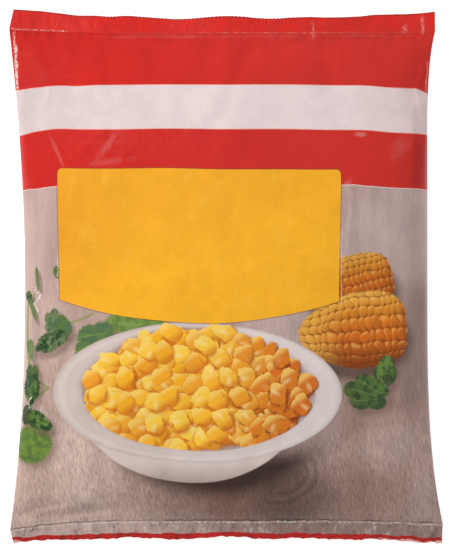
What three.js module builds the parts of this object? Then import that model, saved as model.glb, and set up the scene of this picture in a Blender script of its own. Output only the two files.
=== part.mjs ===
// A sealed pillow bag of frozen corn, lying on its back with the printed front up.
// The film is one tube, sealed flat across both ends and filled with loose kernels, so it is one solid.
// Millimetres. +Z up, +X to the right and +Y to the top of the printed front.
// The origin is on the table, under the middle of the bag.
import * as THREE from "three";
import { mergeVertices } from "three/addons/utils/BufferGeometryUtils.js";

// Driving sizes
const FLAT_WIDTH = 170; // the empty tube, and so the width of the seals
const BAG_LENGTH = 210; // from cut edge to cut edge, at the corners
const FILL_HEIGHT = 32; // the crown above the table
const WAIST_WIDTH = 0.922 * FLAT_WIDTH; // the filled middle draws in its sides
const SEAL_THICKNESS = 0.9; // both films welded, thicker than the real 0.2 so that the solid holds

// Plan outline. Each corner has its own reach and its own speed of flare from the waist.
const HALF_FLAT = FLAT_WIDTH / 2;
const HALF_WAIST = WAIST_WIDTH / 2;
const HALF_LENGTH = BAG_LENGTH / 2;
const CORNERS = {
  topLeft: { reach: HALF_FLAT + 0.2, flare: 1.9, tuck: 1.6 },
  topRight: { reach: HALF_FLAT - 3, flare: 7, tuck: 0 },
  bottomLeft: { reach: HALF_FLAT - 0.1, flare: 2.3, tuck: 1.2 },
  bottomRight: { reach: HALF_FLAT, flare: 3.4, tuck: 0.2 },
};

// Ends. The filled middle pulls each seal in, so the lines bow towards the corners.
const TOP_END = {
  line: { middle: HALF_LENGTH - 9.3, left: 2.0, right: 1.0, bow: 2.6 },
  edge: { middle: HALF_LENGTH - 3.1, left: 3.3, right: 2.6, bow: 3.4 },
  height: { middle: 11, corner: 5.2 }, // of the seal above the table
  waves: [
    { height: 0.7, turn: 5.1, phase: 0.4 },
    { height: 0.35, turn: 11.7, phase: 1.9 },
  ],
  droop: 0.9, // from the seal's line to its cut edge
};
const BOTTOM_END = {
  line: { middle: HALF_LENGTH - 9.7, left: 4.2, right: 1.6, bow: 4 },
  edge: { middle: HALF_LENGTH - 2.5, left: 2.3, right: 2.7, bow: 2.4 },
  height: { middle: 10, corner: 4.6 },
  waves: [
    { height: 0.7, turn: 5.1, phase: 2.2 },
    { height: 0.35, turn: 11.7, phase: 0.3 },
  ],
  droop: 1.2,
};
const FOLD_LINE_POWER = 3; // how late the fold line of the sides turns towards the seal's height

// Fullness of the filled body
const SIDE_HEIGHT = 12; // the fold line of the sides above the table, at the waist
const FRONT_RISE = FILL_HEIGHT - SIDE_HEIGHT;
const BACK_DROP = 1.9 * SIDE_HEIGHT; // how far the back would hang if no table held it up
const TABLE_BLEND = 2.2; // rounding where the back leaves the table
const ALONG = { power: 2.3, round: 0.8 };
const ACROSS = { power: 2.3, round: 0.62 };
const SWELLS = [
  // broad unevenness of the filling under the front film: waves over the plan, each with its own phase
  { x: 0.062, y: 0.031, phase: 0.8, height: 0.45 },
  { x: -0.045, y: 0.083, phase: 2.1, height: 0.4 },
  { x: 0.118, y: -0.052, phase: 4.0, height: 0.3 },
  { x: 0.021, y: 0.135, phase: 1.2, height: 0.28 },
];
const SIDE_HALF_THICKNESS = 2.4; // the rounded fold of the side, at the waist
const SIDE_BULGE = 1.5;
const SIDE_TAPER_POWER = 4; // how late the side's thickness gives way to the seal's
const RELIEF_ONSET = 5; // gap between the films at which folds have their full depth

// The long seam down the back, folded flat to one side, with a groove along its fold and its free edge
const SEAM = { left: -1.5, right: 10.5, thickness: 0.8, groove: 0.7, grooveHalfWidth: 0.8 };

// Pleats that run from each seal into the body
const PLEATS_PER_SEAL = 13;
const PLEAT_SPAN = 0.92; // share of the waist that they take
const PLEAT_SCATTER = 0.7; // of their even spacing
const PLEAT = { reach: [8, 30], width: [3.2, 6.2], depth: [0.5, 2.0], lean: 0.4, onset: 3 };

// Folds that stand out by themselves, from a to b in plan; a negative depth is a ridge
const FOLDS = [
  { a: [79, 93], b: [73.5, 72], width: 3.6, depth: 1.1 },
  { a: [73.5, 72], b: [78, 56], width: 3.2, depth: 0.9 },
  { a: [-83, 92], b: [-76, 66], width: 3.4, depth: 0.9 },
  { a: [-80, -95], b: [-42, -90], width: 4.2, depth: 1.7 },
  { a: [-60, -85], b: [-34, -87], width: 5.5, depth: -1.0 },
  { a: [82, -94], b: [58, -89], width: 4.4, depth: 1.3 },
  { a: [-74, -8], b: [-71, -22], width: 3.2, depth: 0.6 },
];

// Mesh density
const EVEN_COLUMNS = 46;
const ROWS = 46;
const SEAL_ROWS = 2;
const EDGE_STEPS = 2;
const COLUMN_CROWDING = 0.6; // share of the spacing that closes up towards the sides
const ROW_CROWDING = 0.55;

const FILM = { color: 0xd0291f, roughness: 0.38, metalness: 0 };

// A repeatable run of draws between 0 and 1
function seededDraws(seed) {
  const modulus = 2147483647;
  let state = seed;
  return () => {
    state = (state * 16807) % modulus;
    return state / modulus;
  };
}

const between = ([low, high], share) => low + (high - low) * share;

// Evenly spaced values from -1 to 1 that close up towards both ends
const crowded = (value, share) => (1 - share) * value + share * Math.sin((value * Math.PI) / 2);

// The larger of a value and zero, with a rounded change-over
function roundedFloor(value, blend) {
  if (value <= -blend) return 0;
  if (value >= blend) return value;
  return (value + blend) ** 2 / (4 * blend);
}

// A line across an end: its distance from the middle of the bag at a share u of the half width
const bowedLine = (line, u) => line.middle + (u < 0 ? line.left : line.right) * Math.abs(u) ** line.bow;

// Half width of the bag at t, which runs from -1 at the bottom seal to 1 at the top seal
function halfWidth(t, u) {
  const end = t < 0 ? "bottom" : "top";
  const corner = CORNERS[end + (u < 0 ? "Left" : "Right")];
  const inBody = Math.min(Math.abs(t), 1);
  const intoSeal = Math.max(Math.abs(t) - 1, 0);
  return HALF_WAIST + (corner.reach - HALF_WAIST) * inBody ** corner.flare - corner.tuck * intoSeal;
}

// Height of the seam line where front and back film would meet
function foldHeight(u, t) {
  const end = t < 0 ? BOTTOM_END : TOP_END;
  const towardsEnd = Math.min(Math.abs(t), 1) ** FOLD_LINE_POWER;
  const sealHeight = end.height.middle + (end.height.corner - end.height.middle) * u * u;
  const wave = end.waves.reduce((sum, s) => sum + s.height * Math.sin(s.turn * u + s.phase), 0);
  const intoSeal = Math.max(Math.abs(t) - 1, 0);
  return SIDE_HEIGHT * (1 - towardsEnd) + (sealHeight + wave) * towardsEnd - end.droop * intoSeal;
}

// Fullness from 0 at the film's edges to 1 at the crown
function fullness(u, t) {
  const along = Math.max(1 - Math.abs(t) ** ALONG.power, 0) ** ALONG.round;
  const across = Math.max(1 - Math.abs(u) ** ACROSS.power, 0) ** ACROSS.round;
  return along * across;
}

function makePleats(seed) {
  const draw = seededDraws(seed);
  const pleats = [];
  for (let i = 0; i < PLEATS_PER_SEAL; i++) {
    const place = (i + 0.5 + PLEAT_SCATTER * (draw() - 0.5)) / PLEATS_PER_SEAL;
    pleats.push({
      x: (2 * place - 1) * PLEAT_SPAN * HALF_WAIST,
      reach: between(PLEAT.reach, draw()),
      width: between(PLEAT.width, draw()),
      depth: between(PLEAT.depth, draw()),
      lean: PLEAT.lean * (2 * draw() - 1),
    });
  }
  return pleats;
}

const PLEATS = {
  front: { top: makePleats(11), bottom: makePleats(23) },
  back: { top: makePleats(37), bottom: makePleats(41) },
};

// Depth of the pleats at x, a distance in from the seal
function pleatDepth(pleats, x, distance) {
  let depth = 0;
  for (const p of pleats) {
    const aside = (x - p.x - p.lean * distance) / p.width;
    depth += p.depth * Math.exp(-aside * aside - distance / p.reach);
  }
  return depth * (1 - Math.exp(-distance / PLEAT.onset));
}

// Depth of the single folds at a point of the plan
function foldDepth(x, y) {
  let depth = 0;
  for (const f of FOLDS) {
    const run = [f.b[0] - f.a[0], f.b[1] - f.a[1]];
    const length = Math.hypot(run[0], run[1]);
    const along = ((x - f.a[0]) * run[0] + (y - f.a[1]) * run[1]) / length;
    const aside = ((x - f.a[0]) * run[1] - (y - f.a[1]) * run[0]) / length;
    const past = Math.max(-along, along - length, 0);
    depth += f.depth * Math.exp(-((aside / f.width) ** 2) - (past / (2 * f.width)) ** 2);
  }
  return depth;
}

// Height of the broad unevenness at a point of the plan
const swell = (x, y) => SWELLS.reduce((sum, s) => sum + s.height * Math.sin(s.x * x + s.y * y + s.phase), 0);

// How far the folded seam stands off the back film
const seamDepth = (x) => (x > SEAM.left && x < SEAM.right ? SEAM.thickness : 0);

// Depth of the grooves along both edges of the seam
function seamGroove(x) {
  const aside = Math.min(Math.abs(x - SEAM.left), Math.abs(x - SEAM.right));
  return SEAM.groove * Math.max(1 - aside / SEAM.grooveHalfWidth, 0);
}

// The columns of the film as shares of the half width: an even set that closes up towards the sides,
// and three lines for each edge of the seam, which keep it straight and crisp
function makeColumns() {
  const shares = [];
  for (let i = 0; i <= EVEN_COLUMNS; i++) shares.push(crowded((2 * i) / EVEN_COLUMNS - 1, COLUMN_CROWDING));
  const seamLines = [SEAM.left, SEAM.right].flatMap((x) =>
    [-1, 0, 1].map((side) => (x + side * SEAM.grooveHalfWidth) / HALF_WAIST),
  );
  const room = SEAM.grooveHalfWidth / 2 / HALF_WAIST;
  const clear = (share) => seamLines.every((line) => Math.abs(line - share) > room);
  return [...shares.filter(clear), ...seamLines].sort((a, b) => a - b);
}

const COLUMN_SHARES = makeColumns();
const COLUMNS = COLUMN_SHARES.length - 1;

// A point of the bag. u, v and w run from -1 to 1 across, along and through a block of the same layout.
function bagPoint(u, v, w) {
  const sealShare = (2 * SEAL_ROWS) / ROWS;
  const bodyShare = 1 - sealShare;
  const inSeal = Math.max(Math.abs(v) - bodyShare, 0) / sealShare;
  const t = inSeal > 0 ? Math.sign(v) * (1 + inSeal) : crowded(v / bodyShare, ROW_CROWDING);

  const across = COLUMN_SHARES[Math.round(((u + 1) / 2) * COLUMNS)];
  let x = across * halfWidth(t, across);

  const topLine = bowedLine(TOP_END.line, across);
  const bottomLine = -bowedLine(BOTTOM_END.line, across);
  let y = bottomLine + ((t + 1) / 2) * (topLine - bottomLine);
  if (t > 1) y = topLine + inSeal * (bowedLine(TOP_END.edge, across) - topLine);
  if (t < -1) y = bottomLine - inSeal * (bowedLine(BOTTOM_END.edge, across) + bottomLine);

  const inBody = Math.min(Math.abs(t), 1);
  const atSide = 1 - inBody ** SIDE_TAPER_POWER;
  const edge = SEAL_THICKNESS / 2 + (SIDE_HALF_THICKNESS - SEAL_THICKNESS / 2) * atSide;
  const full = fullness(across, Math.min(Math.max(t, -1), 1));
  const middle = foldHeight(across, t);

  const end = t < 0 ? "bottom" : "top";
  const distance = (1 - inBody) * HALF_LENGTH;
  const slack = Math.min(1, (full * FRONT_RISE) / RELIEF_ONSET); // no relief where the films lie together
  const dips = pleatDepth(PLEATS.front[end], x, distance) + foldDepth(x, y) - swell(x, y);
  const front = middle + edge + full * (FRONT_RISE - edge) - slack * dips;
  const seamX = across * HALF_WAIST; // the seam runs straight along the film
  const hanging =
    middle - edge - full * BACK_DROP + slack * pleatDepth(PLEATS.back[end], x, distance) - seamDepth(seamX);
  const back = roundedFloor(hanging, TABLE_BLEND) + seamGroove(seamX) * (inBody < 1 ? 1 : 0);

  const sideBulge = SEAL_THICKNESS / 2 + (SIDE_BULGE - SEAL_THICKNESS / 2) * atSide;
  if (Math.abs(u) === 1) x += Math.sign(u) * sideBulge * Math.sqrt(1 - w * w);
  const z = w >= 0 ? middle + w * (front - middle) : middle + w * (middle - back);
  return [x, y, z];
}

// The bag is a finely divided block, each of whose points is moved to its place on the film.
function bagGeometry() {
  const block = new THREE.BoxGeometry(2, 2, 2, COLUMNS, ROWS, EDGE_STEPS);
  block.deleteAttribute("normal");
  block.deleteAttribute("uv");
  const geometry = mergeVertices(block);
  const position = geometry.getAttribute("position");
  const snap = (value) => Math.round(value * 1e6) / 1e6;
  for (let i = 0; i < position.count; i++) {
    const place = [position.getX(i), position.getY(i), position.getZ(i)].map(snap);
    position.setXYZ(i, ...bagPoint(...place));
  }
  geometry.computeVertexNormals();
  return geometry;
}

const group = new THREE.Group();
const bag = new THREE.Mesh(bagGeometry(), new THREE.MeshStandardMaterial(FILM));
bag.name = "bag";
group.add(bag);

export default group;
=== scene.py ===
"""The look of the frozen vegetable bag: a fine film mesh over the solid, its print, lights and camera."""
import math

import bpy
import numpy as np
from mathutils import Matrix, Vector


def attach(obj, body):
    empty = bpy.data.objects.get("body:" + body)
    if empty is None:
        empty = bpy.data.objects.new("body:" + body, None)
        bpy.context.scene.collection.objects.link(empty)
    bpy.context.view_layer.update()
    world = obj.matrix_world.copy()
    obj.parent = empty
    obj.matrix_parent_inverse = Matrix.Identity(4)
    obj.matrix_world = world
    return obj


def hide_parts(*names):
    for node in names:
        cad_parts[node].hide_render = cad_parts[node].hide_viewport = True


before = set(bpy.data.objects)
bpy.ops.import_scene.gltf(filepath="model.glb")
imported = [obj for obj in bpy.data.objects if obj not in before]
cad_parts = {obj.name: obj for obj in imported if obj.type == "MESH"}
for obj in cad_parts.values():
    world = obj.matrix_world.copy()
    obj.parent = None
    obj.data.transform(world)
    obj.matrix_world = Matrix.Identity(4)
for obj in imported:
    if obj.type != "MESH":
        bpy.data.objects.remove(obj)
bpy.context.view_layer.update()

MM = 0.001

# Driving sizes, in millimetres: those of the part's source, but for a thinner seal and a flatter side fold
FLAT_WIDTH = 170
BAG_LENGTH = 210
FILL_HEIGHT = 32
WAIST_WIDTH = 0.922 * FLAT_WIDTH
SEAL_THICKNESS = 0.36  # both films welded
SEAL_LENGTH = 6.6  # from the weld to the cut edge

HALF_FLAT = FLAT_WIDTH / 2
HALF_WAIST = WAIST_WIDTH / 2
HALF_LENGTH = BAG_LENGTH / 2
CORNERS = {
    "top_left": {"reach": HALF_FLAT + 0.2, "flare": 1.9, "tuck": 1.6},
    "top_right": {"reach": HALF_FLAT - 3, "flare": 7, "tuck": 0},
    "bottom_left": {"reach": HALF_FLAT - 0.1, "flare": 2.3, "tuck": 1.2},
    "bottom_right": {"reach": HALF_FLAT, "flare": 3.4, "tuck": 0.2},
}
# Each end's weld line and cut edge, height of the fold line, its waves as size, turns and phase, and droop
TOP_END = {
    "line": {"middle": HALF_LENGTH - 9.3, "left": 2, "right": 1, "bow": 2.6},
    "edge": {"middle": HALF_LENGTH - 3.1, "left": 3.3, "right": 2.6, "bow": 3.4},
    "height": {"middle": 11, "corner": 5.2},
    "waves": [(0.7, 5.1, 0.4), (0.35, 11.7, 1.9)],
    "droop": 0.9,
}
BOTTOM_END = {
    "line": {"middle": HALF_LENGTH - 9.7, "left": 4.2, "right": 1.6, "bow": 4},
    "edge": {"middle": HALF_LENGTH - 2.5, "left": 2.3, "right": 2.7, "bow": 2.4},
    "height": {"middle": 10, "corner": 4.6},
    "waves": [(0.7, 5.1, 2.2), (0.35, 11.7, 0.3)],
    "droop": 1.2,
}
FOLD_LINE_POWER = 3
SIDE_HEIGHT = 12
FRONT_RISE = FILL_HEIGHT - SIDE_HEIGHT
BACK_DROP = 1.9 * SIDE_HEIGHT
TABLE_BLEND = 2.2
ALONG = {"power": 2.3, "round": 0.8}
ACROSS = {"power": 2.3, "round": 0.62}
SWELLS = [
    # turns across and along, phase, height
    (0.062, 0.031, 0.8, 0.45),
    (-0.045, 0.083, 2.1, 0.4),
    (0.118, -0.052, 4, 0.3),
    (0.021, 0.135, 1.2, 0.28),
]
SIDE_HALF_THICKNESS = 2.4
SIDE_BULGE = 0.35
SIDE_TAPER_POWER = 4
RELIEF_ONSET = 5
SEAM = {"left": -1.5, "right": 10.5, "thickness": 0.8, "groove": 0.7, "groove_half_width": 0.8}
PLEATS_PER_SEAL = 13
PLEAT_SPAN = 0.92
PLEAT_SCATTER = 0.7
PLEAT = {"reach": (8, 30), "width": (3.2, 6.2), "depth": (0.5, 2), "lean": 0.4, "onset": 3}
FOLDS = [
    # from, to, width, depth; a negative depth is a ridge
    ((79, 93), (73.5, 72), 3.6, 1.1),
    ((73.5, 72), (78, 56), 3.2, 0.9),
    ((-83, 92), (-76, 66), 3.4, 0.9),
    ((-80, -95), (-42, -90), 4.2, 1.7),
    ((-60, -85), (-34, -87), 5.5, -1),
    ((82, -94), (58, -89), 4.4, 1.3),
    ((-74, -8), (-71, -22), 3.2, 0.6),
]

# Fine mesh
COLUMNS = 260  # across the front; the back has every other one
BODY_ROWS = 222
SEAL_ROWS = 11
EDGE_STEPS = 6
BACK_START = COLUMNS + 1 + EDGE_STEPS  # each ring has the front from left to right, then the right side
COLUMN_CROWDING = 0.35
ROW_CROWDING = 0.4


def seeded_draws(seed):
    """A repeatable run of draws between 0 and 1."""
    modulus = 2147483647
    state = seed
    while True:
        state = (state * 16807) % modulus
        yield state / modulus


def between(pair, share):
    return pair[0] + (pair[1] - pair[0]) * share


def crowded(value, share):
    """Evenly spaced values from -1 to 1 that close up towards both ends."""
    return (1 - share) * value + share * np.sin(value * math.pi / 2)


def rounded_floor(value, blend):
    """The larger of a value and zero, with a rounded change-over."""
    rounded = (value + blend) ** 2 / (4 * blend)
    return np.where(value <= -blend, 0, np.where(value >= blend, value, rounded))


def bowed_line(line, u):
    return line["middle"] + np.where(u < 0, line["left"], line["right"]) * np.abs(u) ** line["bow"]


def half_width(t, u):
    in_body = np.minimum(np.abs(t), 1)
    into_seal = np.maximum(np.abs(t) - 1, 0)

    def reach(name):
        corner = CORNERS[name]
        flared = HALF_WAIST + (corner["reach"] - HALF_WAIST) * in_body ** corner["flare"]
        return flared - corner["tuck"] * into_seal

    top = np.where(u < 0, reach("top_left"), reach("top_right"))
    bottom = np.where(u < 0, reach("bottom_left"), reach("bottom_right"))
    return np.where(t < 0, bottom, top)


def fold_height(u, t):
    towards_end = np.minimum(np.abs(t), 1) ** FOLD_LINE_POWER
    into_seal = np.maximum(np.abs(t) - 1, 0)

    def seal(end):
        height = end["height"]
        level = height["middle"] + (height["corner"] - height["middle"]) * u * u
        wave = sum(size * np.sin(turn * u + phase) for size, turn, phase in end["waves"])
        return SIDE_HEIGHT * (1 - towards_end) + (level + wave) * towards_end - end["droop"] * into_seal

    return np.where(t < 0, seal(BOTTOM_END), seal(TOP_END))


def fullness(u, t):
    along = np.maximum(1 - np.minimum(np.abs(t), 1) ** ALONG["power"], 0) ** ALONG["round"]
    across = np.maximum(1 - np.abs(u) ** ACROSS["power"], 0) ** ACROSS["round"]
    return along * across


def make_pleats(seed):
    draw = seeded_draws(seed)
    pleats = []
    for i in range(PLEATS_PER_SEAL):
        place = (i + 0.5 + PLEAT_SCATTER * (next(draw) - 0.5)) / PLEATS_PER_SEAL
        pleats.append({
            "x": (2 * place - 1) * PLEAT_SPAN * HALF_WAIST,
            "reach": between(PLEAT["reach"], next(draw)),
            "width": between(PLEAT["width"], next(draw)),
            "depth": between(PLEAT["depth"], next(draw)),
            "lean": PLEAT["lean"] * (2 * next(draw) - 1),
        })
    return pleats


PLEATS = {
    "front": {"top": make_pleats(11), "bottom": make_pleats(23)},
    "back": {"top": make_pleats(37), "bottom": make_pleats(41)},
}


def depth_beside_seals(pleats, t, x, distance):
    """Depth of the pleats at a distance from the nearer seal."""
    def depth(of_one_seal):
        total = 0
        for p in of_one_seal:
            aside = (x - p["x"] - p["lean"] * distance) / p["width"]
            total = total + p["depth"] * np.exp(-aside * aside - distance / p["reach"])
        return total

    return np.where(t < 0, depth(pleats["bottom"]), depth(pleats["top"]))


def pleat_depth(face, t, x, distance):
    return depth_beside_seals(PLEATS[face], t, x, distance) * (1 - np.exp(-distance / PLEAT["onset"]))


def beside_line(a, b, x, y):
    """How far each point is along the line from a to b and to its right, and how long the line is."""
    run = (b[0] - a[0], b[1] - a[1])
    length = math.hypot(*run)
    along = ((x - a[0]) * run[0] + (y - a[1]) * run[1]) / length
    aside = ((x - a[0]) * run[1] - (y - a[1]) * run[0]) / length
    return along, aside, length


def fold_depth(x, y):
    total = 0
    for a, b, width, depth in FOLDS:
        along, aside, length = beside_line(a, b, x, y)
        past = np.maximum(np.maximum(-along, along - length), 0)
        total = total + depth * np.exp(-((aside / width) ** 2) - (past / (2 * width)) ** 2)
    return total


def swell(x, y):
    return sum(height * np.sin(kx * x + ky * y + phase) for kx, ky, phase, height in SWELLS)


def seam_depth(x):
    return np.where((x > SEAM["left"]) & (x < SEAM["right"]), SEAM["thickness"], 0)


def seam_groove(x):
    aside = np.minimum(np.abs(x - SEAM["left"]), np.abs(x - SEAM["right"]))
    return SEAM["groove"] * np.maximum(1 - aside / SEAM["groove_half_width"], 0)


def film_points(u, t, w, relief=1):
    """Points of the bag: u across and t along from -1 to 1, the seals beyond, and w from back to front."""
    x = u * half_width(t, u)
    into_seal = np.maximum(np.abs(t) - 1, 0)
    top_line = bowed_line(TOP_END["line"], u)
    bottom_line = -bowed_line(BOTTOM_END["line"], u)
    y = bottom_line + (np.clip(t, -1, 1) + 1) / 2 * (top_line - bottom_line)
    y = np.where(t > 1, top_line + into_seal * (bowed_line(TOP_END["edge"], u) - top_line), y)
    y = np.where(t < -1, bottom_line - into_seal * (bowed_line(BOTTOM_END["edge"], u) + bottom_line), y)

    in_body = np.minimum(np.abs(t), 1)
    at_side = 1 - in_body ** SIDE_TAPER_POWER
    edge = SEAL_THICKNESS / 2 + (SIDE_HALF_THICKNESS - SEAL_THICKNESS / 2) * at_side
    full = fullness(u, t)
    middle = fold_height(u, t)
    distance = (1 - in_body) * HALF_LENGTH
    slack = relief * np.minimum(1, full * FRONT_RISE / RELIEF_ONSET)
    dips = pleat_depth("front", t, x, distance) + fold_depth(x, y) - swell(x, y)
    front = middle + edge + full * (FRONT_RISE - edge) - slack * dips
    seam_x = u * HALF_WAIST
    back_pleats = slack * pleat_depth("back", t, x, distance)
    hanging = middle - edge - full * BACK_DROP + back_pleats - seam_depth(seam_x)
    back = rounded_floor(hanging, TABLE_BLEND) + seam_groove(seam_x) * (in_body < 1)

    bulge = SEAL_THICKNESS / 2 + (SIDE_BULGE - SEAL_THICKNESS / 2) * at_side
    x = x + np.where(np.abs(u) == 1, np.sign(u) * bulge * np.sqrt(np.maximum(1 - w * w, 0)), 0)
    z = np.where(w >= 0, middle + w * (front - middle), middle + w * (middle - back))
    return np.stack([x, y, z], -1)


# Fine relief, in millimetres
LATTICE = 64  # cells after which noise and kernels repeat
KERNELS = {"pitch": 7.6, "height": 0.16, "radius": 4.6, "scatter": 0.7, "taut": 1.5}
FINE_PLEATS = {
    "count": 34, "span": 0.97, "reach": (3, 13), "width": (0.9, 2.2), "depth": (0.06, 0.34), "lean": 0.35,
}
CREASES = [
    # points, width, height (a negative height is a valley), worn ink and painted glint
    ([(-75.2, -4.3), (-72, -7.2), (-74.8, -10.4), (-73.2, -13.4)], 0.7, 0.5, 0.9),
    ([(-77, -2), (-74, -8)], 0.8, -0.4, 0),
    ([(-70, 57), (-66.5, 46), (-62, 40)], 1, 0.3, 0.15),
    ([(-66, 55), (-61, 45.5)], 0.9, 0.25, 0.3),
    ([(-47.5, 57.5), (-51.5, 53), (-55, 49.5)], 1.3, 0.35, 0.3),
    ([(-56, 44), (-48, 42.5)], 1.2, 0.25, 0.2),
    ([(49.6, 38), (48.6, 24), (46.2, 4)], 2, 0.5, 0.2),
    ([(-78, 95.3), (-62, 94), (-38, 94.4)], 0.8, -0.35, 0),
    ([(-34, 94.2), (-12, 92.6), (4, 93.4)], 0.8, 0.3, 0),
    ([(30, 93.6), (52, 92.4), (66, 94.6)], 0.9, -0.3, 0),
    ([(84, 95), (78.5, 84), (74.3, 74)], 0.9, 0.55, 0.3),
    ([(74.3, 74), (76, 66), (78.2, 59.5)], 0.9, 0.45, 0.2),
    ([(-82, 92), (-79.5, 80), (-78.8, 70)], 0.9, 0.4, 0),
    ([(-80, -93.5), (-74, -90.5), (-62, -88.5), (-48, -91.5)], 2, -1.3, 0),
    ([(-77, -87), (-66, -84.8), (-52, -86.5)], 2, 0.8, 0),
    ([(-70, 68), (-69, 73.5)], 0.8, 0.35, 0.5),
    ([(-75.7, -46.5), (-77.2, -48.8), (-76.6, -51.4)], 0.6, 0.35, 0.7),
    ([(22, 58), (27, 57.2), (33, 58.2)], 1, 0.2, 0.3),
    ([(80, 30), (78, 10), (79, -20)], 1.2, 0.25, 0),
    ([(33.5, 101.5), (34.6, 93)], 0.8, 0.4, 0.5),
]
FACETS = [
    # from, to, slope, width towards the bag's side
    ((84.5, 96), (74.3, 74), 0.3, 8),
    ((74.3, 74), (78.5, 57), 0.3, 8),
]
FACET_FADE = 6
# Width of the creases' worn ink and painted glints
WEAR_AND_GLINT_WIDTH = 0.55
CRINKLE = {"pitch": (5.5, 2.3), "patches": (17, 23), "body": 0.1, "sides": 0.3, "taut": 1.4}
SEAL_CRINKLE = {"top": 0.1, "bottom": 0.42, "level": 0.9}
SEAL_CRESTS = [
    # skew, pitch, share, seed
    (0.4, (4.2, 7), 1, 21),
    (-0.3, (1.9, 3.4), 0.5, 22),
]
WELD_GROOVE = {"depth": 0.35, "width": 0.9, "distance": 0.8}
RELIEF_FADE = {"at_ends": 2, "side_power": 40}
TOOTH = 0.28
RAGGED = {"depth": 0.6, "pitch": 1.3}
EDGE_WAVES = [
    # size, pitch, seed
    (0.9, 19, 41),
    (0.5, 6.5, 42),
]
TOP_EDGE_DIP = {"depth": 0.45, "x": -25, "half_width": 40}
BOTTOM_EDGE_RISE = {"height": 0.2, "half_width": 30}


def smooth_share(value):
    return value * value * (3 - 2 * value)


def lattice_noise(x, y, pitch, seed):
    """Smooth noise between 0 and 1."""
    values = np.random.default_rng(seed).random((LATTICE, LATTICE))
    column, row = x / pitch[0], y / pitch[1]
    i, j = np.floor(column).astype(int), np.floor(row).astype(int)
    a, b = smooth_share(column - i), smooth_share(row - j)

    def at(di, dj):
        return values[(i + di) % LATTICE, (j + dj) % LATTICE]

    return (at(0, 0) * (1 - a) + at(1, 0) * a) * (1 - b) + (at(0, 1) * (1 - a) + at(1, 1) * a) * b


def ridges(x, y, pitch, seed):
    """Sharp crests between 0 and 1, as in crumpled film."""
    return 1 - np.abs(2 * lattice_noise(x, y, pitch, seed) - 1)


def kernel_bumps(x, y):
    """Rounded bumps of the frozen kernels that press against the film."""
    pitch, scatter = KERNELS["pitch"], KERNELS["scatter"]
    draws = np.random.default_rng(5).random((LATTICE, LATTICE, 3))
    column, row = np.floor(x / pitch).astype(int), np.floor(y / pitch).astype(int)
    best = np.zeros_like(x)
    for di in (-1, 0, 1):
        for dj in (-1, 0, 1):
            i, j = column + di, row + dj
            draw = draws[i % LATTICE, j % LATTICE]
            seat_x = (i + 0.5 + scatter * (draw[..., 0] - 0.5)) * pitch
            seat_y = (j + 0.5 + scatter * (draw[..., 1] - 0.5)) * pitch
            far = ((x - seat_x) ** 2 + (y - seat_y) ** 2) / KERNELS["radius"] ** 2
            best = np.maximum(best, np.maximum(1 - far, 0) * draw[..., 2])
    return KERNELS["height"] * best


def make_fine_pleats(seed):
    draws = np.random.default_rng(seed)
    span, lean = FINE_PLEATS["span"], FINE_PLEATS["lean"]
    return [{
        "x": draws.uniform(-span, span) * HALF_FLAT,
        "reach": draws.uniform(*FINE_PLEATS["reach"]),
        "width": draws.uniform(*FINE_PLEATS["width"]),
        "depth": draws.uniform(*FINE_PLEATS["depth"]),
        "lean": draws.uniform(-lean, lean),
    } for _ in range(FINE_PLEATS["count"])]


FINE = {"top": make_fine_pleats(3), "bottom": make_fine_pleats(8)}


def distance_to(line, x, y):
    """How far each point is from a broken line."""
    nearest = np.full(x.shape, 1e9)
    for a, b in zip(line, line[1:]):
        run = (b[0] - a[0], b[1] - a[1])
        share = ((x - a[0]) * run[0] + (y - a[1]) * run[1]) / (run[0] ** 2 + run[1] ** 2)
        share = np.clip(share, 0, 1)
        nearest = np.minimum(nearest, np.hypot(x - a[0] - share * run[0], y - a[1] - share * run[1]))
    return nearest


def crease_height(x, y):
    """Sharp creases along broken lines, each fading at its ends."""
    return sum(height * np.exp(-distance_to(line, x, y) / width) for line, width, height, _ in CREASES)


def crease_wear_and_glint(x, y):
    """How pale the creases are painted, from 0 to 1: worn ink and painted glints."""
    wear_and_glint = np.zeros_like(x)
    for line, _, _, worn_and_glint in CREASES:
        wear_and_glint = np.maximum(wear_and_glint, worn_and_glint * np.exp(-(distance_to(line, x, y) / WEAR_AND_GLINT_WIDTH) ** 2))
    return wear_and_glint


def facet_drop(x, y):
    """The film beside the crease at the upper right turns down in a flat facet."""
    total = 0
    for a, b, slope, wide in FACETS:
        along, aside, length = beside_line(a, b, x, y)
        inside = np.clip(np.minimum(along, length - along) / FACET_FADE + 0.5, 0, 1)
        total = total + slope * np.clip(-aside, 0, wide) * smooth_share(inside)
    return total


def seal_crinkle(x, y, t):
    """Waves and crests of the welded ends, where both films move together."""
    into_seal = np.clip((np.abs(t) - 1) * 3, 0, 1)
    size = np.where(t < 0, SEAL_CRINKLE["bottom"], SEAL_CRINKLE["top"])
    crests = sum(share * ridges(x + skew * y, y, pitch, seed) for skew, pitch, share, seed in SEAL_CRESTS)
    return into_seal * size * (crests - SEAL_CRINKLE["level"])


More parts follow.
